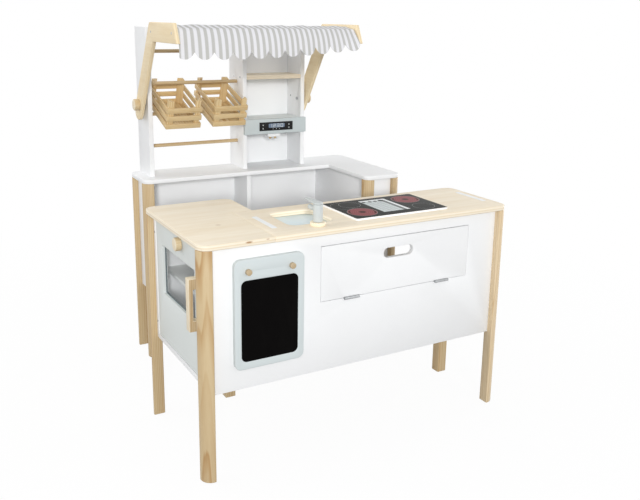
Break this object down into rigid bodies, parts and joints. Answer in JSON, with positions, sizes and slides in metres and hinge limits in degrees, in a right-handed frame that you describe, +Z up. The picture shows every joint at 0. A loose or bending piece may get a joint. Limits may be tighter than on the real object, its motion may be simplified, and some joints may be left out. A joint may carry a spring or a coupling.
{
  "type": "toy market stall",
  "caption": "Wooden toy market stall with a shop counter, play kitchen, oven, sink, hob, serving flap, chalkboard, display rack, crates, coffee machine and a tilting striped awning.",
  "frame": {"origin": "on the floor, at the middle of the overall outline", "axes": "+Z up, the counter's front faces -Y, the oven door faces -X"},
  "size_m": [0.798, 0.793, 0.9376],
  "materials": {
    "plywood": "clear satin lacquer",
    "pine": "clear satin lacquer",
    "white_board": "white satin paint",
    "blue_grey_board": "blue-grey satin paint",
    "grey_board": "light grey satin paint",
    "slate": "matt chalkboard paint",
    "black_print": "printed and lacquered",
    "water_blue": "light blue satin paint",
    "clear_pane": "clear and smooth",
    "steel": "zinc-plated",
    "striped_cloth": "woven, grey and white stripes"
  },
  "bodies": {
    "stall": {"counter_top_left": "plywood", "counter_top_right": "plywood", "counter_leg_front_left": "pine", "counter_leg_rear_left": "pine", "counter_leg_inner": "pine", "counter_leg_front_right": "pine", "counter_leg_rear_right": "pine", "front_panel": "white_board", "end_panel": "white_board", "kitchen_divider": "white_board", "kitchen_back": "white_board", "floor_boards": "white_board", "flap_stop": "pine", "flap_hinge_leaves": "steel", "chalkboard_frame": "blue_grey_board", "chalkboard_slate": "slate", "chalkboard_pegs": "pine", "oven_base": "white_board", "oven_shelf": "grey_board", "door_jamb": "white_board", "sink_floor": "water_blue", "tap_foot": "pine", "hob_board": "black_print", "rear_top": "white_board", "rear_legs": "pine", "side_panel": "white_board", "back_panel": "white_board", "rear_divider": "white_board", "return_inner_panel": "white_board", "return_front_panel": "white_board", "return_side_panel": "white_board", "upright": "white_board", "tower_left": "white_board", "tower_right": "white_board", "tower_back": "white_board", "tower_shelf": "pine", "machine_front": "blue_grey_board", "machine_deck": "blue_grey_board", "machine_display": "black_print", "outlet_block": "white_board", "outlet_nozzles": "pine", "hanging_rails": "pine", "awning_bolts": "steel"},
    "flap": {"flap": "white_board", "flap_hinge_knuckles": "steel"},
    "oven_door": {"oven_door": "grey_board", "oven_pane": "clear_pane", "oven_handle": "pine", "oven_door_pins": "steel"},
    "oven_knob": {"oven_knob": "pine"},
    "tap": {"tap_column": "blue_grey_board", "tap_spout": "blue_grey_board"},
    "tap_lever": {"tap_lever": "blue_grey_board"},
    "crate_left": {"crate_left": "pine"},
    "crate_right": {"crate_right": "pine"},
    "awning": {"awning_arm_left": "plywood", "awning_arm_right": "plywood", "awning_dowels": "pine", "awning_cloth": "striped_cloth", "awning_knobs": "pine"}
  },
  "joints": [
    {"name": "flap_hinge", "type": "hinge", "parent": "stall", "child": "flap", "pos_m": [0.0885, -0.3814, 0.3536], "axis": [1, 0, 0], "range_deg": [0, 175]},
    {"name": "oven_door_hinge", "type": "hinge", "parent": "stall", "child": "oven_door", "pos_m": [-0.373, -0.077, 0.3625], "axis": [0, 0, -1], "range_deg": [0, 95]},
    {"name": "oven_knob_turn", "type": "hinge", "parent": "oven_door", "child": "oven_knob", "pos_m": [-0.379, -0.237, 0.484], "axis": [-1, 0, 0], "range_deg": [-135, 135]},
    {"name": "tap_swivel", "type": "hinge", "parent": "stall", "child": "tap", "pos_m": [-0.108, -0.3505, 0.528], "axis": [0, 0, 1], "range_deg": [-60, 60]},
    {"name": "tap_lever_swivel", "type": "hinge", "parent": "tap", "child": "tap_lever", "pos_m": [-0.108, -0.3505, 0.5664], "axis": [0, 0, 1], "range_deg": [-45, 45]},
    {"name": "crate_left_tip", "type": "hinge", "parent": "stall", "child": "crate_left", "pos_m": [-0.19483, 0.3445, 0.68777], "axis": [-1, 0, 0], "range_deg": [0, 19.5]},
    {"name": "crate_right_tip", "type": "hinge", "parent": "stall", "child": "crate_right", "pos_m": [-0.06117, 0.3445, 0.68777], "axis": [-1, 0, 0], "range_deg": [0, 19.5]},
    {"name": "awning_tilt", "type": "hinge", "parent": "stall", "child": "awning", "pos_m": [-0.034, 0.3205, 0.718], "axis": [1, 0, 0], "range_deg": [-20, 25]}
  ]
}
